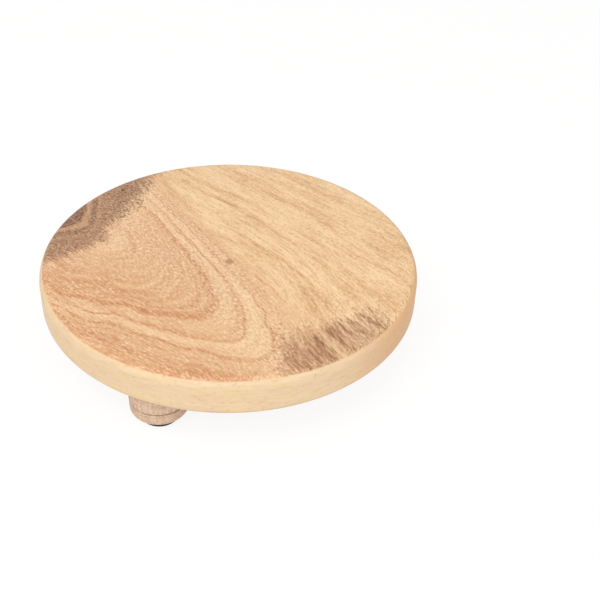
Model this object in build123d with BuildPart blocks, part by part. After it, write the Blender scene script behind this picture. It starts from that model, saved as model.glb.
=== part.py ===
from build123d import *
import os
from math import cos, radians, sin

os.makedirs("parts", exist_ok=True)

# A round wooden rolling board on three short turned feet.
# Millimetres, +Z up, origin on the table under the middle of the board.
# Each foot has a spigot that seats in a socket in the underside, and a wood screw
# that runs up through the foot into the board. A rubber pad closes the screw's recess.

# Board
board_diameter = 228.6
board_thickness = 24.0
board_top_round = 6.0
board_bottom_round = 4.0

# Feet and where they stand
foot_names = ("front_left", "right", "back_left")
first_foot_angle = 248.0
foot_inset = 6.5
foot_diameter = 34.6
foot_height = 24.5
foot_taper = 0.2
foot_base_round = 4.5
foot_shoulder_round = 0.6

# Turned groove round each foot
groove_height_share = 0.388
groove_width = 1.4
groove_depth = 0.8

# Spigot on the foot and its socket in the board
spigot_diameter = 14.0
spigot_length = 8.0
spigot_chamfer = 0.8
socket_side_clearance = 0.1
socket_end_clearance = 0.5

# Wood screw
screw_thread_diameter = 4.2
screw_root_diameter = 3.0
screw_pitch = 1.8
screw_thread_length = 24.0
screw_point_length = 4.0
screw_tip_diameter = 0.6
screw_head_diameter = 8.0
screw_head_height = 3.0
screw_head_round = 1.2
thread_crest_width = 0.2
thread_base_width = 0.9
thread_sink = 0.1
drive_slot_length = 4.4
drive_slot_width = 1.1
drive_slot_depth = 1.7
wood_over_screw = 5.5

# Holes for the screw
recess_depth = 6.0
recess_side_clearance = 0.5
shank_side_clearance = 0.2
pilot_side_clearance = 0.1
pilot_end_clearance = 0.5

# Rubber pad
pad_diameter = 22.0
pad_thickness = 5.0
pad_edge_round = 0.5

# Heights above the table, the feet's circle, and the radii that mating pieces share
foot_circle_radius = board_diameter / 2 - foot_inset - foot_diameter / 2
foot_base = pad_thickness
board_underside = foot_base + foot_height
board_top = board_underside + board_thickness
screw_seat = foot_base + recess_depth
screw_end = board_top - wood_over_screw
socket_depth = spigot_length + socket_end_clearance
thread_start = screw_end - screw_thread_length
thread_radius = screw_thread_diameter / 2
root_radius = screw_root_diameter / 2
recess_radius = screw_head_diameter / 2 + recess_side_clearance
shank_hole_radius = thread_radius + shank_side_clearance


def foot_centre(angle):
    """The middle of a foot, on the table."""
    return (foot_circle_radius * cos(radians(angle)), foot_circle_radius * sin(radians(angle)), 0)


def upright_plane(angle):
    """An upright plane through a foot's axis: x runs outwards from the axis and y runs up."""
    return Plane(origin=foot_centre(angle), x_dir=(1, 0, 0), z_dir=(0, -1, 0))


def level_plane(angle, height):
    """A level plane at a height above the table, centred on a foot."""
    return Plane(origin=foot_centre(angle)).offset(height)


def foot_axis(angle):
    """The upright centre line of a foot."""
    return Axis(foot_centre(angle), (0, 0, 1))


def make_board():
    """The disc, with a blind socket and a pilot hole above each foot."""
    with BuildPart() as board:
        with BuildSketch(Plane.XY.offset(board_underside)):
            Circle(board_diameter / 2)
        extrude(amount=board_thickness)
        rims = board.edges().filter_by(GeomType.CIRCLE).sort_by(Axis.Z)
        fillet(rims[-1], board_top_round)
        fillet(rims[0], board_bottom_round)

        # Sockets for the spigots
        with BuildSketch(Plane.XY.offset(board_underside)):
            with PolarLocations(foot_circle_radius, len(foot_names), first_foot_angle):
                Circle(spigot_diameter / 2 + socket_side_clearance)
        extrude(amount=socket_depth, mode=Mode.SUBTRACT)

        # Pilot holes, which leave the thread to bite into the wood
        with BuildSketch(Plane.XY.offset(board_underside)):
            with PolarLocations(foot_circle_radius, len(foot_names), first_foot_angle):
                Circle(root_radius + pilot_side_clearance)
        extrude(amount=screw_end + pilot_end_clearance - board_underside, mode=Mode.SUBTRACT)
    return board.part


def make_foot(angle):
    """A turned foot with a groove, a spigot on top and a stepped hole for the screw."""
    radius = foot_diameter / 2
    lower_radius = radius - foot_taper
    groove_centre = foot_base + foot_height * groove_height_share
    spigot_top = board_underside + spigot_length
    with BuildPart() as foot:
        with BuildSketch(upright_plane(angle)):
            with BuildLine():
                Polyline(
                    (recess_radius, foot_base),
                    (lower_radius, foot_base),
                    (lower_radius, groove_centre - groove_width / 2),
                    (radius - groove_depth, groove_centre),
                    (radius, groove_centre + groove_width / 2),
                    (radius, board_underside),
                    (spigot_diameter / 2, board_underside),
                    (spigot_diameter / 2, spigot_top - spigot_chamfer),
                    (spigot_diameter / 2 - spigot_chamfer, spigot_top),
                    (shank_hole_radius, spigot_top),
                    (shank_hole_radius, screw_seat),
                    (recess_radius, screw_seat),
                    close=True,
                )
            make_face()
        revolve(axis=foot_axis(angle))
        circles = foot.edges().filter_by(GeomType.CIRCLE)
        base_edge = circles.group_by(Axis.Z)[0].sort_by(SortBy.RADIUS)[-1]
        fillet(base_edge, foot_base_round)
        widest = foot.edges().filter_by(GeomType.CIRCLE).filter_by(lambda edge: edge.radius > lower_radius)
        fillet(widest.sort_by(Axis.Z)[-1], foot_shoulder_round)
    return foot.part


def make_screw(angle):
    """A pan-head wood screw with a cross slot, a plain shank and a turned thread."""
    head_radius = screw_head_diameter / 2
    head_base = screw_seat - screw_head_height
    axis = foot_axis(angle)
    with BuildPart() as screw:
        # Head, shank, core and point
        with BuildSketch(upright_plane(angle)):
            with BuildLine():
                Polyline(
                    (0, head_base),
                    (head_radius, head_base),
                    (head_radius, screw_seat),
                    (thread_radius, screw_seat),
                    (thread_radius, thread_start - screw_pitch),
                    (root_radius, thread_start),
                    (root_radius, screw_end - screw_point_length),
                    (screw_tip_diameter / 2, screw_end),
                    (0, screw_end),
                    close=True,
                )
            make_face()
        revolve(axis=axis)
        fillet(screw.edges().filter_by(GeomType.CIRCLE).sort_by(Axis.Z)[0], screw_head_round)

        # Cross slot for the driver
        with BuildSketch(level_plane(angle, head_base)):
            Rectangle(drive_slot_length, drive_slot_width)
            Rectangle(drive_slot_width, drive_slot_length)
        extrude(amount=drive_slot_depth, mode=Mode.SUBTRACT)

        # Thread: one ridge that winds up the core and stops below the point
        x, y, _ = foot_centre(angle)
        thread_top = screw_end - screw_point_length - thread_base_width
        with BuildLine() as winding:
            Helix(screw_pitch, thread_top - thread_start, root_radius, center=(x, y, thread_start))
        with BuildSketch(upright_plane(angle)):
            with BuildLine():
                Polyline(
                    (root_radius - thread_sink, thread_start - thread_base_width / 2),
                    (thread_radius, thread_start - thread_crest_width / 2),
                    (thread_radius, thread_start + thread_crest_width / 2),
                    (root_radius - thread_sink, thread_start + thread_base_width / 2),
                    close=True,
                )
            make_face()
        sweep(path=winding.line, is_frenet=True)
    return screw.part


def make_pad(angle):
    """A round rubber pad, stuck to the foot's base."""
    with BuildPart() as pad:
        with BuildSketch(level_plane(angle, 0)):
            Circle(pad_diameter / 2)
        extrude(amount=pad_thickness)
        fillet(pad.edges().filter_by(GeomType.CIRCLE).sort_by(Axis.Z)[0], pad_edge_round)
    return pad.part


def write_piece(piece, name):
    """Label one piece and write it as a file of its own."""
    piece.label = name
    export_step(piece, f"parts/{name}.step")


write_piece(make_board(), "board")

for index, foot_name in enumerate(foot_names):
    foot_angle = first_foot_angle + index * 360 / len(foot_names)
    write_piece(make_foot(foot_angle), f"{foot_name}_foot")
    write_piece(make_screw(foot_angle), f"{foot_name}_foot_screw")
    write_piece(make_pad(foot_angle), f"{foot_name}_foot_pad")
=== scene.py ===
import math

import bpy
import numpy as np
from mathutils import Matrix, Vector


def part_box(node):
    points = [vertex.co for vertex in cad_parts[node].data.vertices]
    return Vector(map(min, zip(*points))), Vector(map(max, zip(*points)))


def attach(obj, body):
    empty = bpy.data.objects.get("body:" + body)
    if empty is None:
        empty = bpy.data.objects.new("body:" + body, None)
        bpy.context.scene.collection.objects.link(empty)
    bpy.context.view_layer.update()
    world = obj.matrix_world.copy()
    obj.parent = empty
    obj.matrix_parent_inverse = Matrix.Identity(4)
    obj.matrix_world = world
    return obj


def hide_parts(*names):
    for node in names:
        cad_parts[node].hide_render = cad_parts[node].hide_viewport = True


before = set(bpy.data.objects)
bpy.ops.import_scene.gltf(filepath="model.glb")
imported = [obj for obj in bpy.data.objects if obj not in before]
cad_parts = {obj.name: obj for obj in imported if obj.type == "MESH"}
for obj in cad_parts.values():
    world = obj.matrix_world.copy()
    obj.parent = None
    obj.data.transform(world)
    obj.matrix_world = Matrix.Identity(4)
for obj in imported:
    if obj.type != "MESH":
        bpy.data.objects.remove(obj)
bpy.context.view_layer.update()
mm = 0.001
near = 0.01 * mm                      # two points this close are the same
smoothAngle = math.radians(30)
print("frame loaded")


def deselectAll():
    bpy.ops.object.select_all(action="DESELECT")


def activate(piece):
    deselectAll()
    piece.select_set(True)
    bpy.context.view_layer.objects.active = piece


def placeInMesh(piece):
    activate(piece)
    bpy.ops.object.transform_apply(location=True, rotation=True, scale=True)


def selectEdges(piece, test):
    # picks edges in code, by their two end points
    bpy.ops.object.mode_set(mode="EDIT")
    bpy.ops.mesh.select_mode(type="EDGE")
    bpy.ops.mesh.select_all(action="DESELECT")
    bpy.ops.object.mode_set(mode="OBJECT")
    points = piece.data.vertices
    for edge in piece.data.edges:
        edge.select = test(points[edge.vertices[0]].co, points[edge.vertices[1]].co)
    bpy.ops.object.mode_set(mode="EDIT")


def selectFaces(piece, test):
    # picks faces in code, by centre and normal
    bpy.ops.object.mode_set(mode="EDIT")
    bpy.ops.mesh.select_mode(type="FACE")
    bpy.ops.mesh.select_all(action="DESELECT")
    bpy.ops.object.mode_set(mode="OBJECT")
    for face in piece.data.polygons:
        face.select = test(face.center, face.normal)
    bpy.ops.object.mode_set(mode="EDIT")


def turnPiece(name, centre, outline, segments):
    # a circle drawn along an outline of (radius, height) points, as on a lathe
    deselectAll()
    radius, height = outline[0]
    bpy.ops.mesh.primitive_circle_add(vertices=segments, radius=radius,
                                      location=(centre.x, centre.y, height))
    piece = bpy.context.active_object
    piece.name = name
    placeInMesh(piece)
    bpy.ops.object.mode_set(mode="EDIT")
    bpy.ops.mesh.select_mode(type="EDGE")
    bpy.ops.mesh.select_all(action="SELECT")
    for nextRadius, nextHeight in outline[1:]:
        scale = nextRadius / radius
        bpy.ops.mesh.extrude_region_move(TRANSFORM_OT_translate={"value": (0, 0, nextHeight - height)})
        bpy.ops.transform.resize(value=(scale, scale, 1), center_override=(centre.x, centre.y, nextHeight))
        radius, height = nextRadius, nextHeight
    return piece


def quarterRound(centreRadius, centreHeight, size, startAngle, steps):
    # points of a quarter circle, anticlockwise from the start angle
    angles = [math.radians(startAngle + 90 * step / steps) for step in range(steps + 1)]
    return [(centreRadius + size * math.cos(angle), centreHeight + size * math.sin(angle))
            for angle in angles]


def finishPiece(piece, slotName, material, *nodes):
    piece.data.materials.append(material)
    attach(piece, "root")
    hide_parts(*nodes)


def linearColour(hexCode):
    # sRGB hex to the linear values that a shader wants
    channels = [int(hexCode[i:i + 2], 16) / 255 for i in (1, 3, 5)]
    return [c / 12.92 if c <= 0.04045 else ((c + 0.055) / 1.055) ** 2.4 for c in channels] + [1]


def newMaterial(name):
    material = bpy.data.materials.new(name)
    material.use_nodes = True
    material.node_tree.nodes.clear()
    return material


def addNode(holder, kind, inputs=None, **settings):
    # one node with its settings, fixed values and links; gives back its result
    # A colour may be sRGB hex, and a pair named From or To fills both ends of that range.
    node = holder.node_tree.nodes.new("ShaderNode" + kind)
    for name, value in settings.items():
        setattr(node, name, value)
    for name, value in (inputs or {}).items():
        if name in ("From", "To"):
            for end, number in zip((" Min", " Max"), value):
                node.inputs[name + end].default_value = number
        elif isinstance(value, bpy.types.NodeSocket):
            holder.node_tree.links.new(value, node.inputs[name])
        else:
            node.inputs[name].default_value = linearColour(value) if isinstance(value, str) else value
    return next((socket for socket in node.outputs if socket.enabled), None)


# Camera, at the photograph's viewing angle

cameraSetup = {
    "distance": 0.600,
    "elevation": 37.615,
    "roll": 2.556,
    "lens": 62.25,
    "aim": (43.6 * mm, -40.4 * mm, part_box("board")[1].z),
}


def placeCamera(setup):
    tilt = math.radians(setup["elevation"])
    roll = math.radians(setup["roll"])
    back = Vector((0, -math.cos(tilt), math.sin(tilt)))
    right = Vector((1, 0, 0))
    up = Vector((0, math.sin(tilt), math.cos(tilt)))
    turnedRight = right * math.cos(roll) + up * math.sin(roll)
    turnedUp = up * math.cos(roll) - right * math.sin(roll)
    lens = bpy.data.cameras.new("camera")
    lens.lens = setup["lens"]
    camera = bpy.data.objects.new("camera", lens)
    bpy.context.scene.collection.objects.link(camera)
    camera.matrix_world = Matrix((turnedRight, turnedUp, back)).transposed().to_4x4()
    camera.location = Vector(setup["aim"]) + back * setup["distance"]
    bpy.context.scene.camera = camera


placeCamera(cameraSetup)
print("camera placed")


# Studio: pale floor and soft light

studio = {
    "floorSize": 6.0,
    "floorColour": "#F4F2F0",
    "shadowShare": 0.14,              # how much of the floor's real light and shade shows
    "glow": 1.035,                    # and how bright the rest of it is
    "worldStrength": (0.62, 1.0),     # as a light, and as the camera sees it
    "lamps": {                        # watts, size and place in metres
        "keyLamp": (11.6, 0.9, (-0.4, -0.85, 1.3)),
        "fillLamp": (3.2, 1.2, (1.0, -0.9, 0.7)),
    },
}


def seenDirectly(holder):
    # 1 for rays from the camera, and for mirror and glass rays
    rays = addNode(holder, "LightPath").node.outputs
    sharp = addNode(holder, "Math", {0: rays["Is Glossy Ray"], 1: rays["Is Transmission Ray"]},
                    operation="MAXIMUM")
    return addNode(holder, "Math", {0: rays["Is Camera Ray"], 1: sharp}, operation="MAXIMUM")


def buildStudio(setup):
    deselectAll()
    bpy.ops.mesh.primitive_plane_add(size=setup["floorSize"], location=(0, 0, 0))
    floor = bpy.context.active_object
    floor.name = "floor"
    paper = newMaterial("whitePaper")
    share = addNode(paper, "Math", {0: seenDirectly(paper), 1: 1 - setup["shadowShare"]},
                    operation="MULTIPLY")
    lit = addNode(paper, "BsdfDiffuse", {"Color": setup["floorColour"]})
    glow = addNode(paper, "Emission", {"Color": "#FFFFFF", "Strength": setup["glow"]})
    mix = addNode(paper, "MixShader", {0: share, 1: lit, 2: glow})
    addNode(paper, "OutputMaterial", {"Surface": mix})
    floor.data.materials.append(paper)

    world = bpy.data.worlds.new("softbox")
    bpy.context.scene.world = world
    world.use_nodes = True
    world.node_tree.nodes.clear()
    strength = addNode(world, "MapRange", {"Value": seenDirectly(world), "To": setup["worldStrength"]})
    sky = addNode(world, "Background", {"Color": "#FFFFFF", "Strength": strength})
    addNode(world, "OutputWorld", {"Surface": sky})

    for name, (power, size, place) in setup["lamps"].items():
        light = bpy.data.lights.new(name, "AREA")
        light.energy = power
        light.size = size
        lamp = bpy.data.objects.new(name, light)
        bpy.context.scene.collection.objects.link(lamp)
        lamp.location = place
        lamp.rotation_mode = "QUATERNION"
        lamp.rotation_quaternion = (-Vector(place)).to_track_quat("-Z", "Y")
    bpy.context.scene.view_settings.view_transform = "Standard"


buildStudio(studio)
print("studio built")


# Feet: turned pegs with a groove, a spigot and a stepped hole for the screw

footShape = {
    "segments": 96,
    "radius": 17.3 * mm,
    "lowerRadius": 17.1 * mm,
    "baseRound": 4.5 * mm,
    "baseRoundSteps": 10,
    "shoulderRound": 0.6 * mm,
    "shoulderRoundSteps": 4,
    "grooveHeight": 9.5 * mm,         # above the foot's base
    "grooveWidth": 1.4 * mm,
    "grooveDepth": 0.8 * mm,
    "grooveEase": 0.12 * mm,          # softened lips of the groove
    "spigotRadius": 7 * mm,
    "spigotLength": 8 * mm,
    "spigotChamfer": 0.8 * mm,
    "recessRadius": 4.5 * mm,
    "recessDepth": 6 * mm,
    "recessEase": 0.3 * mm,           # softened lip of the recess
    "shankRadius": 2.3 * mm,
}
footNames = ["front_left_foot", "right_foot", "back_left_foot"]


def footCentre(name):
    low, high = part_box(name)
    return (low + high) / 2


def modelFoot(name, shape):
    low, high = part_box(name)
    base, top = low.z, high.z
    shoulder = top - shape["spigotLength"]
    radius, lower, ease = shape["radius"], shape["lowerRadius"], shape["grooveEase"]
    groove = base + shape["grooveHeight"]
    half, floorRadius = shape["grooveWidth"] / 2, radius - shape["grooveDepth"]
    seat = base + shape["recessDepth"]
    recess, shank, rim = shape["recessRadius"], shape["shankRadius"], shape["recessEase"]
    spigot, chamfer = shape["spigotRadius"], shape["spigotChamfer"]
    outline = [(recess, base + rim), (recess + rim, base)]
    outline += quarterRound(lower - shape["baseRound"], base + shape["baseRound"], shape["baseRound"],
                            -90, shape["baseRoundSteps"])
    outline += [(lower, groove - half - ease), (lower - ease, groove - half),
                (floorRadius + ease, groove - ease), (floorRadius + ease, groove + ease),
                (radius - ease, groove + half), (radius, groove + half + ease)]
    outline += quarterRound(radius - shape["shoulderRound"], shoulder - shape["shoulderRound"],
                            shape["shoulderRound"], 0, shape["shoulderRoundSteps"])
    outline += [(spigot, shoulder), (spigot, top - chamfer), (spigot - chamfer, top),
                (shank, top), (shank, seat), (recess, seat), (recess, base + rim)]
    foot = turnPiece(name + "_wood", footCentre(name), outline, shape["segments"])
    bpy.ops.mesh.select_all(action="SELECT")
    bpy.ops.mesh.remove_doubles(threshold=near)
    bpy.ops.mesh.normals_make_consistent(inside=False)
    bpy.ops.object.mode_set(mode="OBJECT")
    bpy.ops.object.shade_smooth_by_angle(angle=smoothAngle)
    return foot


def copyFoot(first, name):
    # the same foot at another place, with a mesh of its own
    activate(first)
    bpy.ops.object.duplicate(linked=False)
    foot = bpy.context.active_object
    foot.name = name + "_wood"
    bpy.ops.transform.translate(value=footCentre(name) - footCentre(footNames[0]))
    placeInMesh(foot)
    return foot


footPieces = [modelFoot(footNames[0], footShape)]
footPieces += [copyFoot(footPieces[0], name) for name in footNames[1:]]
print("feet modelled:", len(footPieces))


# Board: a turned disc of hardwood

boardShape = {
    "segments": 400,
    "topRound": 6 * mm,
    "topRoundSteps": 12,
    "bottomRound": 4 * mm,
    "bottomRoundSteps": 6,
    "rimRows": 8,
    "edgeLoop": 0.4 * mm,             # narrow face that keeps the flats flat
    "topRingStep": 1.2 * mm,
    "undersideRingStep": 4.0 * mm,
    "socketRadius": 7.1 * mm,
    "socketDepth": 8.5 * mm,
    "socketSegments": 48,
    "socketOverrun": 1.0 * mm,        # how far the cutter starts below the underside
    "pilotRadius": 1.6 * mm,
    "pilotTop": 5.0 * mm,             # wood left over the pilot hole
}
boardLow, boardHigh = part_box("board")
boardRadius, boardTop, boardUnderside = boardHigh.x, boardHigh.z, boardLow.z


def insetRings(board, side, edgeRound, step, shape):
    # rings across the top (side 1) or the underside (side -1), each a step inwards
    selectFaces(board, lambda centre, normal: normal.z * side > 0 and centre.xy.length < near)
    bpy.ops.mesh.inset(thickness=shape["edgeLoop"])
    for ring in range(int((boardRadius - edgeRound) / step) - 1):
        bpy.ops.mesh.inset(thickness=step)
    bpy.ops.object.mode_set(mode="OBJECT")


def socketCutter(name, shape):
    # the socket with the pilot hole above it
    start = boardUnderside - shape["socketOverrun"]
    socketEnd = boardUnderside + shape["socketDepth"]
    outline = [(shape["socketRadius"], start), (shape["socketRadius"], socketEnd),
               (shape["pilotRadius"], socketEnd), (shape["pilotRadius"], boardTop - shape["pilotTop"])]
    cutter = turnPiece(name + "_cutter", footCentre(name), outline, shape["socketSegments"])
    bpy.ops.mesh.edge_face_add()
    selectEdges(cutter, lambda a, b: a.z < start + near and b.z < start + near)
    bpy.ops.mesh.edge_face_add()
    bpy.ops.mesh.select_all(action="SELECT")
    bpy.ops.mesh.normals_make_consistent(inside=False)
    bpy.ops.object.mode_set(mode="OBJECT")
    return cutter


def modelBoard(shape):
    deselectAll()
    bpy.ops.mesh.primitive_cylinder_add(vertices=shape["segments"], radius=boardRadius,
                                        depth=boardTop - boardUnderside,
                                        location=(0, 0, (boardTop + boardUnderside) / 2))
    board = bpy.context.active_object
    board.name = "board_wood"
    placeInMesh(board)
    for height, edgeRound, steps in ((boardTop, shape["topRound"], shape["topRoundSteps"]),
                                     (boardUnderside, shape["bottomRound"], shape["bottomRoundSteps"])):
        selectEdges(board, lambda a, b: abs(a.z - height) < near and abs(b.z - height) < near)
        bpy.ops.mesh.bevel(offset=edgeRound, segments=steps)

    # rows up the side, so that the figure stays smooth there
    low = boardUnderside + shape["bottomRound"]
    high = boardTop - shape["topRound"]
    for row in range(1, shape["rimRows"]):
        rowHeight = low + (high - low) * row / shape["rimRows"]
        bpy.ops.mesh.select_all(action="SELECT")
        bpy.ops.mesh.bisect(plane_co=(0, 0, rowHeight), plane_no=(0, 0, 1))

    # underside, with a socket and a pilot hole over each foot
    insetRings(board, -1, shape["bottomRound"], shape["undersideRingStep"], shape)
    for name in footNames:
        cutter = socketCutter(name, shape)
        activate(board)
        cut = board.modifiers.new("socket", "BOOLEAN")
        cut.object = cutter
        cut.solver = "EXACT"
        bpy.ops.object.modifier_apply(modifier=cut.name)
        bpy.data.objects.remove(cutter)

    # top, fine enough to carry the figure
    insetRings(board, 1, shape["topRound"], shape["topRingStep"], shape)
    bpy.ops.object.shade_smooth_by_angle(angle=smoothAngle)
    return board


board = modelBoard(boardShape)
print("board modelled:", len(board.data.polygons), "faces")


# Figure of the board's wood. Places are millimetres from the middle of the top, x right and y back.

boardFigure = {
    # growth lines, each with how far along the arches it lies: the nested arches of a flat-sawn face
    "growthLines": [
        (-70, [(-86, -6), (-72, -10), (-60, -8), (-57, 0), (-61, 11), (-66, 24)]),
        (-52, [(-98, -14), (-80, -17), (-60, -21), (-50, -20), (-43, -13), (-42, -4), (-47, 10),
               (-58, 32)]),
        (-26, [(-100, -28), (-80, -34), (-60, -41), (-44, -44), (-36, -40), (-32, -28), (-33, -14),
               (-36, 2), (-45, 20)]),
        (-12, [(-98, -37), (-76, -43), (-60, -46), (-44, -50), (-30, -53), (-21, -51), (-17, -42),
               (-19, -28), (-25, -12), (-35, 7)]),
        (0, [(-94, -45), (-70, -52), (-45, -57), (-25, -60), (-14, -59), (-8, -52), (-6, -43), (-9, -34),
             (-13, -22), (-19, -11), (-29, 6), (-42, 25)]),
        (36, [(-100, -47), (-60, -61), (-40, -70), (-18, -78), (-2, -81.5), (8, -81), (14, -76), (14, -66),
              (12, -52), (7, -39), (0, -26), (-7, -14), (-19, 4), (-36, 29)]),
        (61, [(-90, -58), (-60, -70), (-30, -83), (-8, -90), (10, -96), (22, -95.5), (30, -88), (31, -72),
              (25, -52), (17, -38), (8, -24), (-1, -11), (-13, 7), (-30, 32)]),
        (78, [(-80, -74), (-50, -88), (-24, -98), (0, -105), (22, -106), (36, -97), (37, -80), (32, -62),
              (23, -42), (12, -24)]),
        (96, [(66, -88), (52, -64), (40, -46), (28, -28), (14, -10), (0, 8), (-16, 28), (-34, 50)]),
        (130, [(92, -48), (68, -16), (50, 3), (38, 16), (22, 33), (7, 46), (-9, 61), (-39, 86)]),
        (200, [(104, 38), (90, 51), (76, 61), (56, 75), (42, 86), (28, 97), (20, 105)]),
    ],
    # fibre lines, each with its place across the grain in millimetres
    "fibreLines": [
        (-84, [(-104, -50), (-75, -75), (-55, -88), (-38, -98), (-20, -110)]),
        (-50, [(-112, 2), (-80, -26), (-50, -50), (-20, -76), (6, -100)]),
        (-26, [(-84, 14), (-58, -12), (-34, -36), (-12, -58), (10, -82), (24, -102)]),
        (-10, [(-70, 62), (-52, 40), (-39, 26), (-25, 8), (-9, -12), (5, -32), (19, -56), (30, -78),
               (38, -97)]),
        (6, [(-66, 84), (-37, 45), (-21, 27), (8, -1), (22, -17), (36, -40), (50, -68), (62, -90)]),
        (40, [(-62, 106), (-39, 86), (-18, 67), (0, 54), (17, 38), (36, 18), (50, 3), (68, -20), (84, -46),
              (94, -62)]),
        (65, [(-36, 112), (-4, 84), (27, 56), (57, 30), (86, 2), (106, -20)]),
        (95, [(8, 114), (42, 86), (68, 67), (90, 51), (110, 34)]),
        (110, [(40, 108), (70, 86), (96, 66)]),
    ],
    # drawn streaks: half width in millimetres, strength and course
    "darkStreaks": [
        (1.1, 1.0, [(7, 46), (13, 42), (22, 33), (32, 23), (39, 16)]),
        (1.2, 0.5, [(39, 16), (44, 9), (50, 3), (60, -8)]),
        (1.2, 0.7, [(-39, 86), (-29, 76), (-18, 67), (-9, 62), (0, 54)]),
        (1.6, 0.7, [(20, 105), (36, 92), (50, 80), (62, 71), (73, 64)]),
        (1.8, 0.6, [(73, 64), (82, 56), (98, 46), (106, 40)]),
        (1.0, 0.5, [(0, 100), (8, 94), (17, 88), (26, 79)]),
        (1.1, 0.5, [(-36, 69), (-30, 61), (-22, 55)]),
        (0.9, 0.6, [(-37, 26), (-27, 14), (-18, 1), (-11, -8), (-3, -19), (5, -32)]),
        (0.9, 0.4, [(-37, 45), (-31, 38), (-25, 32), (-21, 27)]),
        (1.6, 0.4, [(-10, 42), (-4, 35), (2, 32)]),
        (2.2, 0.35, [(8, 3), (14, -3), (19, -10), (25, -17)]),
        (0.7, 0.8, [(16, -17), (22, -26.5), (25, -27), (32, -39), (36, -44)]),
        (0.8, 0.5, [(26, -20), (31, -28)]),
        (0.8, 0.5, [(35, -33), (36, -38)]),
        (0.9, 0.5, [(-75, -75), (-65, -82), (-55, -88), (-43, -95), (-38, -98)]),
        (0.9, 0.5, [(-50, -89), (-38, -98), (-28, -104), (-18, -110)]),
        (0.9, 0.4, [(-60, -71), (-50, -77), (-42, -84), (-30, -88)]),
        (0.9, 0.4, [(33, -78), (37, -90), (38, -97)]),
        (1.0, 0.5, [(-67, 23), (-62, 14), (-58, 1)]),
        (1.0, 0.5, [(-50, 14), (-45, 7)]),
        (1.3, 0.5, [(21.5, 82.5), (21.6, 82.6)]),
        (1.4, 0.9, [(13.5, -61), (13.5, -61.1)]),
        (1.1, 0.5, [(-10, 1), (-10, 1.1)]),
        (0.5, 0.5, [(-78, 71), (-70, 63), (-64, 57)]),
        (0.5, 0.6, [(-71, 84), (-66, 79), (-61, 73)]),
        (0.5, 0.6, [(-66, 87), (-62, 81)]),
        (0.5, 0.7, [(-49, 96), (-46, 92)]),
        (0.7, 0.9, [(29, -70), (31, -78), (33, -85)]),
        (0.8, 1.0, [(34, -74), (36.5, -82), (37.5, -94)]),
        (1.0, 0.7, [(42, -80), (46, -90), (50, -98)]),
        (1.2, 0.9, [(48, -79), (51, -86), (54, -92), (57, -97)]),
        (1.0, 0.8, [(50, -67), (55, -76), (60, -84), (65, -91)]),
        (1.6, 1.0, [(61, -66), (64, -72), (68, -77), (75, -83)]),
        (1.4, 0.9, [(77, -66), (80, -69), (82, -72)]),
        (1.2, 1.0, [(79, -51), (84, -56), (87, -59), (91, -61)]),
        (0.9, 0.7, [(63, -56), (68, -63), (73, -69)]),
        (3.0, 0.4, [(-16, -107), (0, -108.5), (20, -106)]),
    ],
    "paleStreaks": [
        (9.0, 0.5, [(-58, 72), (-63, 48), (-67, 28), (-72, 8), (-84, -6)]),
        (1.3, 0.9, [(-64, 62), (-54, 48), (-45, 35), (-36, 22), (-25, 9), (-17, -2), (-10, -12), (-5, -22),
                    (1, -34)]),
        (1.5, 0.5, [(-20, 45), (-13, 38), (-5, 30), (0, 24)]),
        (1.8, 0.6, [(-85, -52), (-70, -60), (-60, -66), (-42, -74), (-20, -81), (0, -85), (12, -83)]),
        (1.2, 0.6, [(30, -84), (28, -92), (22, -98), (14, -98.5), (8, -97)]),
        (1.5, 0.5, [(-80, -15), (-60, -19), (-50, -19), (-44, -14), (-41, -8)]),
        (1.2, 0.4, [(-34, -46), (-24, -48), (-20, -42)]),
        (2.0, 0.5, [(20, -70), (18, -56), (12, -40), (5, -28)]),
        (1.6, 0.9, [(53, -64), (59, -74), (66, -84), (71, -90)]),
        (0.9, 0.8, [(64, -57), (72, -64), (80, -71)]),
        (1.2, 0.6, [(70, -52), (80, -60), (88, -68)]),
        (8.0, 0.5, [(-64, -84), (-50, -91), (-34, -98)]),
    ],
    # outline of the dark heartwood at the left, then the rings inside it
    "heartOutline": [
        (-50, 106), (-57, 95), (-60, 86), (-62, 70), (-64, 60), (-67, 52), (-69, 44), (-73, 34), (-76, 25),
        (-78, 15), (-80, 8), (-86, 4), (-93, -1), (-100, -8), (-112, -14), (-130, -14), (-130, 110),
        (-60, 130),
    ],
    "heartLines": [
        (0, [(-100, 58), (-98, 48), (-98, 38), (-100, 30), (-108, 24)]),
        (6, [(-94, 58), (-91, 42), (-90, 30), (-95, 20), (-104, 18)]),
        (12, [(-88, 62), (-85, 42), (-84, 28), (-88, 15), (-100, 10)]),
        (18, [(-80, 68), (-77, 48), (-76, 33), (-80, 18), (-92, 5)]),
        (28, [(-68, 80), (-66, 50), (-68, 20), (-80, -2), (-98, -12)]),
    ],
    # outline of the flecked patch at the front right
    "fleckOutline": [
        (36, -74), (40, -71), (50, -69), (60, -61), (70, -56), (78, -52), (84, -48), (92, -53), (110, -60),
        (90, -110), (40, -130), (36, -98),
    ],
    "grainAngle": -45,                # degrees, the fibres' general run
    "growthEase": 2.0,                # how loosely each set of lines is followed
    "fibreEase": 20.0,
    "heartEase": 1.0,
    "levelsPerDepth": 5.0,            # how fast the arches shift, for each millimetre down
    "heartUndercut": 0.2,             # how fast the dark areas shrink, for each millimetre down
    "fleckUndercut": 0.3,
    "streakDepth": 3.0,               # millimetres down at which drawn streaks are about a third as strong
}


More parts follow.
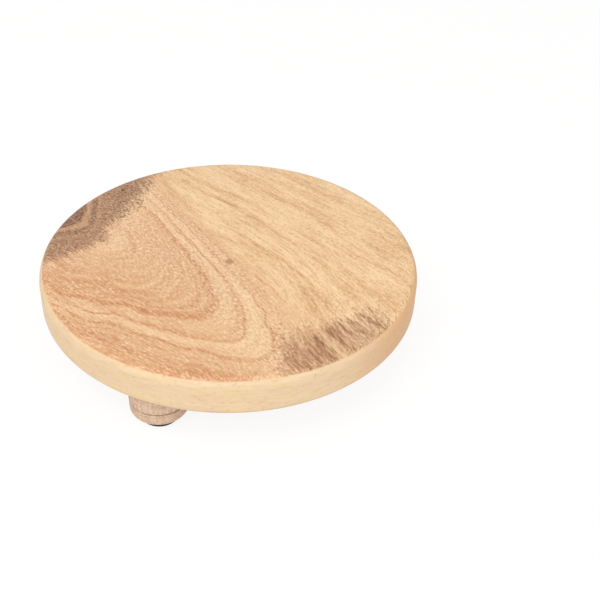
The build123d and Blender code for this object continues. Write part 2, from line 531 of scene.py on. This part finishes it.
def smoothField(lines, ease):
    # a thin plate bent through the points of the lines, as a function of x and y
    points = np.array([place for level, line in lines for place in line], float)
    levels = np.array([level for level, line in lines for place in line], float)
    tiny = 1e-5    # keeps the logarithm finite where two points meet

    def plate(x, y):
        gap = (x[:, None] - points[:, 0]) ** 2 + (y[:, None] - points[:, 1]) ** 2
        return 0.5 * gap * np.log(gap + tiny)

    count = len(points)
    flat = np.column_stack([np.ones(count), points])
    system = np.zeros((count + 3, count + 3))
    system[:count, :count] = plate(points[:, 0], points[:, 1]) + ease * np.eye(count)
    system[:count, count:] = flat
    system[count:, :count] = flat.T
    weights = np.linalg.solve(system, np.concatenate([levels, np.zeros(3)]))
    base, slopeX, slopeY = weights[count:]
    return lambda x, y: plate(x, y) @ weights[:count] + base + slopeX * x + slopeY * y


def lineDistance(line, x, y):
    # distance to a line of points, in millimetres
    ends = np.array(line, float)
    start, run = ends[:-1], ends[1:] - ends[:-1]
    gap = np.stack([x, y], 1)[:, None] - start
    share = np.clip((gap * run).sum(2) / (run ** 2).sum(1), 0, 1)
    return np.sqrt(((gap - share[..., None] * run) ** 2).sum(2)).min(1)


def depthInside(outline, x, y):
    # distance in from a closed outline, below zero outside it
    ends = np.array(outline + outline[:1], float)
    low, high = ends[:-1], ends[1:]
    crosses = (low[:, 1] > y[:, None]) != (high[:, 1] > y[:, None])
    rise = np.where(high[:, 1] == low[:, 1], 1, high[:, 1] - low[:, 1])
    right = x[:, None] < low[:, 0] + (y[:, None] - low[:, 1]) * (high[:, 0] - low[:, 0]) / rise
    inside = (crosses & right).sum(1) % 2 == 1
    return np.where(inside, 1, -1) * lineDistance(outline + outline[:1], x, y)


def streakStrength(streaks, x, y):
    total = np.zeros(len(x))
    for width, strength, line in streaks:
        total = np.maximum(total, strength * np.exp(-(lineDistance(line, x, y) / width) ** 2))
    return total


def writeFigure(piece, figure):
    # one attribute for each field of the figure; gives back their names
    place = np.zeros(len(piece.data.vertices) * 3)
    piece.data.vertices.foreach_get("co", place)
    x, y, z = (place.reshape(-1, 3) / mm).T
    depth = boardTop / mm - z
    fade = np.exp(-depth / figure["streakDepth"])
    angle = math.radians(figure["grainAngle"])
    values = {
        "growth": smoothField(figure["growthLines"], figure["growthEase"])(x, y)
                  + depth * figure["levelsPerDepth"],
        "across": smoothField(figure["fibreLines"], figure["fibreEase"])(x, y),
        "along": x * math.cos(angle) + y * math.sin(angle),
        "side": y * math.cos(angle) - x * math.sin(angle),
        "heart": depthInside(figure["heartOutline"], x, y) - depth * figure["heartUndercut"],
        "heartRings": smoothField(figure["heartLines"], figure["heartEase"])(x, y) + depth,
        "fleck": depthInside(figure["fleckOutline"], x, y) - depth * figure["fleckUndercut"],
        "darkStreaks": streakStrength(figure["darkStreaks"], x, y) * fade,
        "paleStreaks": streakStrength(figure["paleStreaks"], x, y) * fade,
    }
    for name, numbers in values.items():
        layer = piece.data.attributes.new(name, "FLOAT", "POINT")
        layer.data.foreach_set("value", numbers.astype(np.float32))
    return list(values)


figureNames = writeFigure(board, boardFigure)
print("figure laid out")


# Wood of the board. Lengths are millimetres, and a pair is a range. A pattern is its grain size along three
# axes, then its detail, roughness and shift.

noiseMiddle = 0.5
noiseRange = (0.35, 0.65)             # where most of a noise lies

boardWood = {
    "grain": {
        "archGrowth": (62, 112),      # growth lines over which the arches give way to straight grain
        "frontAcross": (-18, -45),    # fibre lines over which the front left begins
        # pores and fibre ends, drawn as coarse as a picture can show
        "speckle": ((2.4, 0.6, 0.6), 1.0, 0.5, 0.0),
        "shortSpeckle": ((2.4, 0.6, 0.6), 1.0, 0.5, 19.0),
        "dashes": ((7.0, 0.9, 0.9), 3.0, 0.65, 5.0),
        "dashShare": 0.5,
        "fineLevels": (0.5, -0.5),
        "wander": ((24.0, 24.0, 24.0), 1.0, 0.5, 0.0),
        "wanderLevels": (-4.0, 4.0),
        "rag": ((6.0, 1.6, 1.6), 2.0, 0.6, 9.0),
        "ragLevels": (-0.9, 0.9),
        "edge": ((12.0, 4.0, 4.0), 3.0, 0.6, 7.0),
        "edgeDepth": (-10.0, 10.0),   # how far the edges of dark areas stray
    },
    "ground": {
        "openPale": "#FAD5A6",        # straight-grained side, between and in its streaks
        "openDark": "#CC955E",
        "archPale": "#F5CFA2",        # arched side
        "archDark": "#D29163",
        "poreBrown": "#A5764F",       # open pores, and the pale fibres between them
        "fibrePale": "#FDE3BE",
        "archShades": [
            (-70, 0.4), (-62, 0.5), (-54, 0.36), (-46, 0.52), (-38, 0.36), (-31, 0.58), (-25, 0.4),
            (-20, 0.62), (-16, 0.4), (-12, 0.72), (-9, 0.44), (-5, 0.72), (0, 0.9), (3, 0.76), (7, 0.36),
            (14, 0.26), (26, 0.34), (31, 0.48), (35, 0.74), (38, 0.2), (47, 0.14), (55, 0.26), (59, 0.74),
            (62, 0.45), (66, 0.28), (71, 0.48), (75, 0.36), (79, 0.68), (83, 0.6), (88, 0.6)],
        "frontShade": 0.2,
        "lines": ((50.0, 5.0, 1.0), 2.0, 0.5, 0.0),
        "lineRange": (0.3, 0.7),
        "lineShade": (-0.16, 0.16),
        "patches": ((45.0, 14.0, 14.0), 2.0, 0.5, 3.0),
        "patchStrength": (0.35, 1.35),
        "streaks": ((40.0, 4.0, 4.0), 4.0, 0.6, 0.0),
        "streakRange": (0.32, 0.7),
        "streakShade": (0.0, 0.64),
        "drawnDark": 0.45,            # drawn streaks
        "drawnPale": -0.3,
        "fineStrength": (0.7, 0.56),  # on straight grain and on the arches
        "fineByShade": 0.3,
        "poreShare": 1.15,
        "fibreShare": -1.5,
    },
    "heart": {
        "pale": "#C4946F",
        "brown": "#643E2A",
        "curlPale": "#DDB897",        # thin curled fibres
        "edge": (-4.5, 7.0),
        "edgeDashes": 7.0,
        "groundShare": 0.85,
        "ringWander": 0.15,
        "ringRag": 0.6,
        "ringShades": [
            (-12, 0.75), (0.5, 0.8), (1.5, 0.35), (2.7, 0.0), (4, 0.25), (5.5, 0.64), (7.5, 0.62), (9, 0.26),
            (12, 0.5), (16, 0.42), (20, 0.56), (26, 0.5), (40, 0.44)],
        "drawnDark": 0.4,
        "fineDark": 0.62,
        "curls": ((3.0, 3.0, 3.0), 2.0, 0.5, 13.0),
        "curlRange": (0.05, 0.0),
        "curlShare": (0.0, 0.6),
    },
    "fleck": {
        "pale": "#CC9F78",
        "brown": "#855639",
        "edge": (-6.0, 8.0),
        "edgeDashes": 9.0,
        "groundShare": 0.5,
        "dashDark": (0.48, -0.06),
        "fineDark": 0.4,
        "drawnDark": 0.28,
        "drawnPale": -0.45,
        "streakDark": 0.4,
    },
    "mark": {
        "brown": "#B08664",
        "place": (0, -5.5),           # where the lathe's centre touched the top
        "edge": (3.45, 1.8),          # from no mark to full mark, out from its middle
        "strength": (0.0, 0.8),
    },
    "rim": {
        "pale": "#EBD0AE",
        "dark": "#DFBB8E",
        "yellow": "#F0D49C",
        "ochreAndShade": "#DFAD7C",           # right-hand side: the wood's ochre tint, partly painted shade of that side
        "spot": "#CF9A58",
        "foot": "#B58A60",            # painted shade along the lower edge, where the bottom round turns under
        "edge": (111.6, 112.6),       # out from the board's middle
        "backShift": (0.0, 1.6),      # the top's colour runs further down the edge at the back left
        "leftPlace": (-30, -70),
        "backPlace": (-20, 20),
        "streaks": ((10.0, 10.0, 1.3), 4.0, 0.6, 11.0),
        "streakRange": (0.35, 0.75),
        "streakStrength": (0.0, 0.75),
        "fineShare": 0.12,
        "yellows": ((22.0, 22.0, 5.0), 3.0, 0.6, 21.0),
        "yellowRange": (0.46, 0.66),
        "yellowStrength": (0.0, 0.4),
        "ochreAndShadePlace": (62, 108),
        "ochreAndShadeStrength": (0.0, 0.85),
        "spots": ((3.5, 3.5, 1.4), 3.0, 0.6, 15.0),
        "spotRange": (0.58, 0.78),
        "spotStrength": (0.0, 0.65),
        "shadedEdgeHeight": (2.5, 0.0),     # up from the underside
        "shadedEdgeStrength": (0.0, 0.7),
    },
    "roughness": (0.42, 0.62),
    "bumpStrength": 0.3,
    "bumpDepth": 0.05,
    "shader": {"IOR": 1.5, "Specular IOR Level": 0.3},
}


def placeInMillimetres(holder):
    # the point on the piece, for patterns with real sizes
    place = addNode(holder, "TexCoord").node.outputs["Object"]
    return addNode(holder, "VectorMath", {0: place, 1: (1 / mm, 1 / mm, 1 / mm)}, operation="MULTIPLY")


def drawnNoise(holder, point, pattern):
    # noise whose grain has a size in millimetres along each axis
    size, detail, roughness, shift = pattern
    scales = [1 / length for length in size]
    scaled = addNode(holder, "VectorMath", {0: point, 1: scales, 2: (shift, shift, shift)},
                     operation="MULTIPLY_ADD")
    return addNode(holder, "TexNoise", {"Vector": scaled, "Scale": 1.0, "Detail": detail,
                                        "Roughness": roughness})


def addShares(holder, total, *parts):
    # a total, and to it each value times its share
    for value, share in parts:
        total = addNode(holder, "Math", {0: value, 1: share, 2: total}, operation="MULTIPLY_ADD")
    return total


def shadeRamp(holder, value, stops):
    # a curve of shades: stops are (value, shade) pairs in rising order
    first, last = stops[0][0], stops[-1][0]
    place = addNode(holder, "MapRange", {"Value": value, "From": (first, last)})
    shade = addNode(holder, "ValToRGB", {"Fac": place})
    ramp = shade.node.color_ramp
    while len(ramp.elements) < len(stops):
        ramp.elements.new(0.5)
    for element, (at, grey) in zip(ramp.elements, stops):
        element.position = (at - first) / (last - first)
        element.color = (grey, grey, grey, 1)
    return shade


def finishMaterial(material, colour, height, roughness, spec, **bumpSettings):
    # bump, shader and output
    relief = addNode(material, "Bump", {"Strength": spec["bumpStrength"], "Distance": spec["bumpDepth"] * mm,
                                        "Height": height}, **bumpSettings)
    shader = addNode(material, "BsdfPrincipled", {"Base Color": colour, "Roughness": roughness,
                                                  "Normal": relief, **spec["shader"]})
    addNode(material, "OutputMaterial", {"Surface": shader})
    return material


def grainFields(wood, spec):
    # the figure's numbers at each point, and the patterns that the parts of the wood share
    field = {}
    for name in figureNames:
        field[name] = addNode(wood, "Attribute", attribute_name=name).node.outputs["Fac"]
    field["place"] = placeInMillimetres(wood)
    axes = addNode(wood, "SeparateXYZ", {0: field["place"]}).node.outputs
    field.update(x=axes["X"], y=axes["Y"], z=axes["Z"])
    field["grain"] = addNode(wood, "CombineXYZ", {0: field["along"], 1: field["across"], 2: field["z"]})
    straight = addNode(wood, "CombineXYZ", {0: field["along"], 1: field["side"], 2: field["z"]})
    arches = addNode(wood, "MapRange", {"Value": field["growth"], "From": spec["archGrowth"],
                                        "To": (1.0, 0.0)}, interpolation_type="SMOOTHSTEP")
    front = addNode(wood, "MapRange", {"Value": field["across"], "From": spec["frontAcross"]})
    field["front"] = front
    field["curved"] = addNode(wood, "Math", {0: arches, 1: front}, operation="SUBTRACT", use_clamp=True)
    field["arched"] = addNode(wood, "Math", {0: arches, 1: front}, operation="MAXIMUM")

    # fine: short and long dashes of open pores and fibre ends, above zero in the pores
    field["speckle"] = drawnNoise(wood, field["grain"], spec["speckle"])
    field["dashes"] = drawnNoise(wood, field["grain"], spec["dashes"])
    mixed = addNode(wood, "Mix", {0: spec["dashShare"], 2: field["speckle"], 3: field["dashes"]})
    short = drawnNoise(wood, straight, spec["shortSpeckle"])
    fine = addNode(wood, "Mix", {0: field["curved"], 2: mixed, 3: short})
    field["fine"] = addNode(wood, "MapRange", {"Value": fine, "From": noiseRange, "To": spec["fineLevels"]},
                            clamp=False)

    # slow wander and ragged edges of the growth lines, and of dark areas
    for name, point, size in (("wander", "place", "wanderLevels"), ("rag", "grain", "ragLevels"),
                              ("edge", "grain", "edgeDepth")):
        noise = drawnNoise(wood, field[point], spec[name])
        field[name] = addNode(wood, "MapRange", {"Value": noise, "To": spec[size]})
    return field


def plainGround(wood, field, spec):
    # arches, by how far along they lie, and warmer at the front left
    level = addShares(wood, field["growth"], (field["wander"], 1), (field["rag"], 1))
    arches = shadeRamp(wood, level, spec["archShades"])
    lines = addNode(wood, "CombineXYZ", {0: field["along"], 1: level})
    lines = drawnNoise(wood, lines, spec["lines"])
    lines = addNode(wood, "MapRange", {"Value": lines, "From": spec["lineRange"], "To": spec["lineShade"]},
                    clamp=False)
    arches = addShares(wood, arches, (field["front"], spec["frontShade"]), (lines, 1))

    # straight-grained side: soft streaks in patches
    patches = drawnNoise(wood, field["grain"], spec["patches"])
    patches = addNode(wood, "MapRange", {"Value": patches, "From": noiseRange, "To": spec["patchStrength"]})
    streaks = drawnNoise(wood, field["grain"], spec["streaks"])
    streaks = addNode(wood, "MapRange", {"Value": streaks, "From": spec["streakRange"],
                                         "To": spec["streakShade"]})
    streaks = addNode(wood, "Math", {0: streaks, 1: patches}, operation="MULTIPLY")
    field["streaks"] = streaks
    shade = addNode(wood, "Mix", {0: field["arched"], 2: streaks, 3: arches})
    shade = addShares(wood, shade, (field["darkStreaks"], spec["drawnDark"]),
                      (field["paleStreaks"], spec["drawnPale"]))
    shade = addNode(wood, "Clamp", {"Value": shade})
    arched = field["arched"]
    pale = addNode(wood, "Mix", {0: arched, 6: spec["openPale"], 7: spec["archPale"]}, data_type="RGBA")
    dark = addNode(wood, "Mix", {0: arched, 6: spec["openDark"], 7: spec["archDark"]}, data_type="RGBA")
    colour = addNode(wood, "Mix", {0: shade, 6: pale, 7: dark}, data_type="RGBA")

    # brown pores and pale fibres, most where the wood is dark
    strength = addNode(wood, "MapRange", {"Value": field["curved"], "To": spec["fineStrength"]})
    strength = addShares(wood, strength, (shade, spec["fineByShade"]))
    strength = addNode(wood, "Math", {0: field["fine"], 1: strength}, operation="MULTIPLY")
    for share, hexCode in ((spec["poreShare"], spec["poreBrown"]), (spec["fibreShare"], spec["fibrePale"])):
        marks = addNode(wood, "Math", {0: strength, 1: share}, operation="MULTIPLY", use_clamp=True)
        colour = addNode(wood, "Mix", {0: marks, 6: colour, 7: hexCode}, data_type="RGBA")
    return colour


def darkArea(wood, field, depth, colour, spec):
    # an area whose edge breaks up into dashes: how far a point lies inside, and the colour with its ground
    inside = addShares(wood, depth, (field["edge"], 1), (field["fine"], spec["edgeDashes"]))
    inside = addNode(wood, "MapRange", {"Value": inside, "From": spec["edge"]},
                     interpolation_type="SMOOTHSTEP")
    ground = addNode(wood, "Math", {0: inside, 1: spec["groundShare"]}, operation="MULTIPLY")
    return inside, addNode(wood, "Mix", {0: ground, 6: colour, 7: spec["pale"]}, data_type="RGBA")


def darkHeart(wood, field, colour, spec):
    # the heart, with its own rings and thin pale curls
    inside, colour = darkArea(wood, field, field["heart"], colour, spec)
    level = addShares(wood, field["heartRings"], (field["wander"], spec["ringWander"]),
                      (field["rag"], spec["ringRag"]))
    shade = shadeRamp(wood, level, spec["ringShades"])
    shade = addShares(wood, shade, (field["darkStreaks"], spec["drawnDark"]),
                      (field["fine"], spec["fineDark"]))
    brown = addNode(wood, "Math", {0: inside, 1: shade}, operation="MULTIPLY", use_clamp=True)
    colour = addNode(wood, "Mix", {0: brown, 6: colour, 7: spec["brown"]}, data_type="RGBA")
    curls = drawnNoise(wood, field["place"], spec["curls"])
    curls = addNode(wood, "Math", {0: curls, 1: noiseMiddle}, operation="SUBTRACT")
    curls = addNode(wood, "Math", {0: curls}, operation="ABSOLUTE")
    curls = addNode(wood, "MapRange", {"Value": curls, "From": spec["curlRange"], "To": spec["curlShare"]})
    curls = addNode(wood, "Math", {0: curls, 1: inside}, operation="MULTIPLY")
    return addNode(wood, "Mix", {0: curls, 6: colour, 7: spec["curlPale"]}, data_type="RGBA")


def fleckedPatch(wood, field, colour, spec):
    # the flecked patch near the front right edge
    inside, colour = darkArea(wood, field, field["fleck"], colour, spec)
    flecks = addNode(wood, "MapRange", {"Value": field["dashes"], "From": noiseRange, "To": spec["dashDark"]})
    flecks = addShares(wood, flecks, (field["fine"], spec["fineDark"]),
                       (field["darkStreaks"], spec["drawnDark"]), (field["paleStreaks"], spec["drawnPale"]),
                       (field["streaks"], spec["streakDark"]))
    brown = addNode(wood, "Math", {0: inside, 1: flecks}, operation="MULTIPLY", use_clamp=True)
    return addNode(wood, "Mix", {0: brown, 6: colour, 7: spec["brown"]}, data_type="RGBA")


def latheMark(wood, field, colour, spec):
    # the small round mark of the lathe's centre
    middle = (*spec["place"], boardTop / mm)
    gap = addNode(wood, "VectorMath", {0: field["place"], 1: middle}, operation="DISTANCE")
    mark = addNode(wood, "MapRange", {"Value": gap, "From": spec["edge"], "To": spec["strength"]})
    return addNode(wood, "Mix", {0: mark, 6: colour, 7: spec["brown"]}, data_type="RGBA")


def paleRim(wood, field, colour, spec):
    # pale sapwood round the rim, in faint level streaks; more ochre to the right, partly painted shade of
    # that side; painted shade along the lower edge
    flat = addNode(wood, "CombineXYZ", {0: field["x"], 1: field["y"]})
    radius = addNode(wood, "VectorMath", {0: flat}, operation="LENGTH")
    left = addNode(wood, "MapRange", {"Value": field["x"], "From": spec["leftPlace"],
                                      "To": spec["backShift"]})
    back = addNode(wood, "MapRange", {"Value": field["y"], "From": spec["backPlace"]})
    shift = addNode(wood, "Math", {0: left, 1: back}, operation="MULTIPLY")
    radius = addNode(wood, "Math", {0: radius, 1: shift}, operation="SUBTRACT")
    rim = addNode(wood, "MapRange", {"Value": radius, "From": spec["edge"]},
                  interpolation_type="SMOOTHSTEP")

    streaks = drawnNoise(wood, field["place"], spec["streaks"])
    streaks = addNode(wood, "MapRange", {"Value": streaks, "From": spec["streakRange"],
                                         "To": spec["streakStrength"]})
    streaks = addShares(wood, streaks, (field["fine"], spec["fineShare"]))
    yellow = drawnNoise(wood, field["place"], spec["yellows"])
    yellow = addNode(wood, "MapRange", {"Value": yellow, "From": spec["yellowRange"],
                                        "To": spec["yellowStrength"]})
    # ochre to the right: partly the wood's tint, partly painted shade of the side turned from the main lamp
    ochreAndShade = addNode(wood, "MapRange", {"Value": field["x"], "From": spec["ochreAndShadePlace"],
                                       "To": spec["ochreAndShadeStrength"]}, interpolation_type="SMOOTHSTEP")
    spots = drawnNoise(wood, field["place"], spec["spots"])
    spots = addNode(wood, "MapRange", {"Value": spots, "From": spec["spotRange"],
                                       "To": spec["spotStrength"]})
    # painted shade along the rim's lower edge, darkest at the underside
    height = addNode(wood, "Math", {0: field["z"], 1: boardUnderside / mm}, operation="SUBTRACT")
    foot = addNode(wood, "MapRange", {"Value": height, "From": spec["shadedEdgeHeight"],
                                      "To": spec["shadedEdgeStrength"]})
    rimColour = spec["pale"]
    for share, name in ((streaks, "dark"), (yellow, "yellow"), (ochreAndShade, "ochreAndShade"), (spots, "spot"),
                        (foot, "foot")):
        rimColour = addNode(wood, "Mix", {0: share, 6: rimColour, 7: spec[name]}, data_type="RGBA")
    return addNode(wood, "Mix", {0: rim, 6: colour, 7: rimColour}, data_type="RGBA")


def makeBoardWood(spec):
    # Flat-sawn hardwood, turned and fine-sanded: satin, with soft arches, short open pores and a dark heart
    wood = newMaterial("sandedHardwood")
    field = grainFields(wood, spec["grain"])
    colour = plainGround(wood, field, spec["ground"])
    colour = darkHeart(wood, field, colour, spec["heart"])
    colour = fleckedPatch(wood, field, colour, spec["fleck"])
    colour = latheMark(wood, field, colour, spec["mark"])
    colour = paleRim(wood, field, colour, spec["rim"])
    rough = addNode(wood, "MapRange", {"Value": field["speckle"], "To": spec["roughness"]})
    return finishMaterial(wood, colour, field["fine"], rough, spec, invert=True)


finishPiece(board, "board_wood", makeBoardWood(boardWood), "board")
print("board finished")


# Wood of the feet. Patterns are as in the board's wood, lengths in millimetres.

footWood = {
    "pale": "#F0D5BD",
    "dark": "#C6A386",
    "pore": "#825C46",
    # painted shade in the groove, under its upper lip
    "groove": "#8A6650",
    "turning": ((24.0, 24.0, 0.7), 3.0, 0.6, 0.0),
    "fibres": ((1.6, 1.6, 6.0), 3.0, 0.6, 4.0),
    "shadeRange": (0.7, 1.3),
    "pores": ((0.8, 0.8, 1.4), 1.0, 0.5, 17.0),
    "poreRange": (0.56, 0.72),
    "poreStrength": (0.0, 0.55),
    "grooveShadeFloor": 0.2,               # half the height of the full painted shade at its floor
    "grooveShadeStrength": (0.0, 0.8),
    "roughness": 0.6,
    "bumpStrength": 0.3,
    "bumpDepth": 0.05,
    "shader": {"IOR": 1.5, "Specular IOR Level": 0.3},
}


def makeFootWood(spec):
    # Pinkish close-grained hardwood, turned on a lathe: faint turning lines, small dark pores, matt, and
    # painted shade in the groove
    wood = newMaterial("turnedHardwood")
    place = placeInMillimetres(wood)
    turning = drawnNoise(wood, place, spec["turning"])
    fibres = drawnNoise(wood, place, spec["fibres"])
    shade = addNode(wood, "Math", {0: turning, 1: fibres}, operation="ADD")
    shade = addNode(wood, "MapRange", {"Value": shade, "From": spec["shadeRange"]})
    pores = drawnNoise(wood, place, spec["pores"])
    pores = addNode(wood, "MapRange", {"Value": pores, "From": spec["poreRange"], "To": spec["poreStrength"]})
    height = addNode(wood, "SeparateXYZ", {0: place}).node.outputs["Z"]
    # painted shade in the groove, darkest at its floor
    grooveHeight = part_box(footNames[0])[0].z + footShape["grooveHeight"]
    groove = addNode(wood, "Math", {0: height, 1: grooveHeight / mm}, operation="SUBTRACT")
    groove = addNode(wood, "Math", {0: groove}, operation="ABSOLUTE")
    groove = addNode(wood, "MapRange", {"Value": groove, "To": spec["grooveShadeStrength"],
                                        "From": (footShape["grooveWidth"] / mm / 2, spec["grooveShadeFloor"])})
    colour = spec["pale"]
    for share, name in ((shade, "dark"), (pores, "pore"), (groove, "groove")):
        colour = addNode(wood, "Mix", {0: share, 6: colour, 7: spec[name]}, data_type="RGBA")
    relief = addNode(wood, "Math", {0: fibres, 1: pores}, operation="SUBTRACT")
    return finishMaterial(wood, colour, relief, spec["roughness"], spec)


footMaterial = makeFootWood(footWood)
for name, foot in zip(footNames, footPieces):
    finishPiece(foot, "foot_wood", footMaterial, name)
print("feet finished")


# Rubber pads and steel screws: the frame's own nodes with better materials

padRubber = {
    "black": "#2B2725",
    "worn": "#47413C",
    "grain": ((0.35, 0.35, 0.35), 2.0, 0.5, 0.0),
    "bloom": ((4.0, 4.0, 4.0), 3.0, 0.6, 0.0),
    "roughness": (0.7, 0.9),
    "bumpStrength": 0.5,
    "bumpDepth": 0.05,
    "shader": {"IOR": 1.52, "Specular IOR Level": 0.3},
}
screwSteel = {
    "bright": "#C9C6BC",
    "tarnish": "#A39C8A",
    "patches": ((1.2, 1.2, 1.2), 3.0, 0.6, 0.0),
    "roughness": (0.25, 0.45),
    "bumpStrength": 0.3,
    "bumpDepth": 0.02,
    "shader": {"Metallic": 1.0},
}


def makePadRubber(spec):
    # Moulded synthetic rubber: near black, matt, with the fine grain of its mould and a dusty bloom
    rubber = newMaterial("mouldedRubber")
    place = placeInMillimetres(rubber)
    grain = drawnNoise(rubber, place, spec["grain"])
    bloom = drawnNoise(rubber, place, spec["bloom"])
    colour = addNode(rubber, "Mix", {0: bloom, 6: spec["black"], 7: spec["worn"]}, data_type="RGBA")
    rough = addNode(rubber, "MapRange", {"Value": bloom, "To": spec["roughness"]})
    return finishMaterial(rubber, colour, grain, rough, spec)


def makeScrewSteel(spec):
    # Zinc-plated steel: a grey-white metal with dull patches
    steel = newMaterial("zincPlatedSteel")
    patches = drawnNoise(steel, placeInMillimetres(steel), spec["patches"])
    colour = addNode(steel, "Mix", {0: patches, 6: spec["bright"], 7: spec["tarnish"]}, data_type="RGBA")
    rough = addNode(steel, "MapRange", {"Value": patches, "To": spec["roughness"]})
    return finishMaterial(steel, colour, patches, rough, spec)


rubberMaterial = makePadRubber(padRubber)
steelMaterial = makeScrewSteel(screwSteel)
for name in footNames:
    for node, material in ((name + "_pad", rubberMaterial), (name + "_screw", steelMaterial)):
        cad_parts[node].data.materials.clear()
        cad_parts[node].data.materials.append(material)
print("pads and screws finished")
